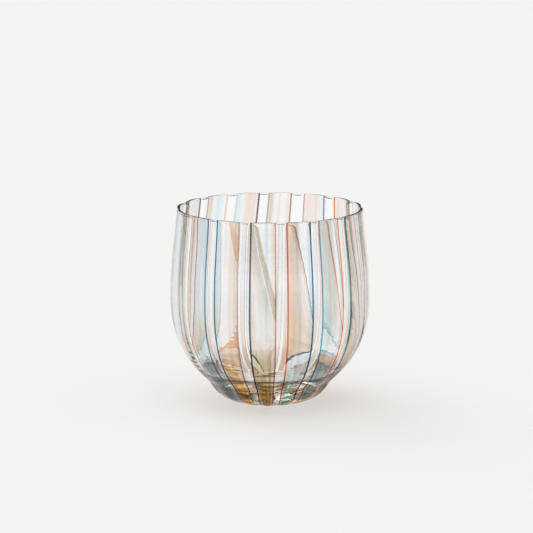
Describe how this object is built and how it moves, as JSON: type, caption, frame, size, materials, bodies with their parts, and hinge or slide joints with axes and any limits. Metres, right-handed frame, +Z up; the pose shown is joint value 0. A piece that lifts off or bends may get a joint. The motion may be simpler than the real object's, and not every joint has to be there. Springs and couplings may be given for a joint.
{
  "type": "drinking glass",
  "caption": "Rounded blown-glass tumbler with a lobed wall, a wavy rim, a heavy solid heel and vertical bands of coloured glass canes, for drinking from.",
  "frame": {"origin": "middle of the flat resting face under the heel", "axes": "+Z up along the axis of the bowl towards the rim, -Y towards the front of the picture"},
  "size_m": [0.0838, 0.0839, 0.082],
  "materials": {
    "clear_glass": "fire-polished clear soda glass",
    "blush_glass": "transparent pale pink cane",
    "mist_glass": "transparent pale blue cane",
    "pearl_glass": "transparent pale grey cane",
    "taupe_glass": "transparent grey-brown cane",
    "peach_glass": "transparent peach cane",
    "navy_thread": "transparent dark blue thread",
    "blue_thread": "transparent blue thread",
    "teal_thread": "transparent green-blue thread",
    "slate_thread": "transparent grey thread",
    "rose_thread": "transparent pink thread",
    "red_thread": "transparent red thread",
    "russet_thread": "transparent red-brown thread",
    "orange_thread": "transparent orange thread",
    "plum_thread": "transparent dark purple thread",
    "tan_thread": "transparent brown thread"
  },
  "bodies": {
    "root": {"clear_bowl": "clear_glass", "ribbon_01": "taupe_glass", "ribbon_02": "taupe_glass", "ribbon_03": "mist_glass", "ribbon_04": "blush_glass", "ribbon_05": "pearl_glass", "ribbon_06": "pearl_glass", "ribbon_07": "blush_glass", "ribbon_08": "peach_glass", "ribbon_09": "blush_glass", "ribbon_10": "blush_glass", "ribbon_11": "mist_glass", "ribbon_12": "mist_glass", "ribbon_13": "pearl_glass", "ribbon_14": "mist_glass", "ribbon_15": "blush_glass", "ribbon_16": "blush_glass", "thread_left_01": "navy_thread", "thread_left_02": "red_thread", "thread_left_03": "teal_thread", "thread_left_04": "teal_thread", "thread_left_05": "slate_thread", "thread_left_06": "orange_thread", "thread_left_07": "slate_thread", "thread_left_08": "slate_thread", "thread_left_09": "russet_thread", "thread_left_10": "plum_thread", "thread_left_11": "orange_thread", "thread_left_12": "navy_thread", "thread_left_13": "teal_thread", "thread_left_14": "slate_thread", "thread_left_15": "rose_thread", "thread_left_16": "blue_thread", "thread_right_01": "rose_thread", "thread_right_02": "blue_thread", "thread_right_03": "orange_thread", "thread_right_04": "slate_thread", "thread_right_05": "blue_thread", "thread_right_06": "slate_thread", "thread_right_07": "orange_thread", "thread_right_08": "navy_thread", "thread_right_09": "tan_thread", "thread_right_10": "slate_thread", "thread_right_11": "rose_thread", "thread_right_12": "slate_thread", "thread_right_13": "orange_thread", "thread_right_14": "blue_thread", "thread_right_15": "navy_thread", "thread_right_16": "russet_thread"}
  },
  "joints": []
}
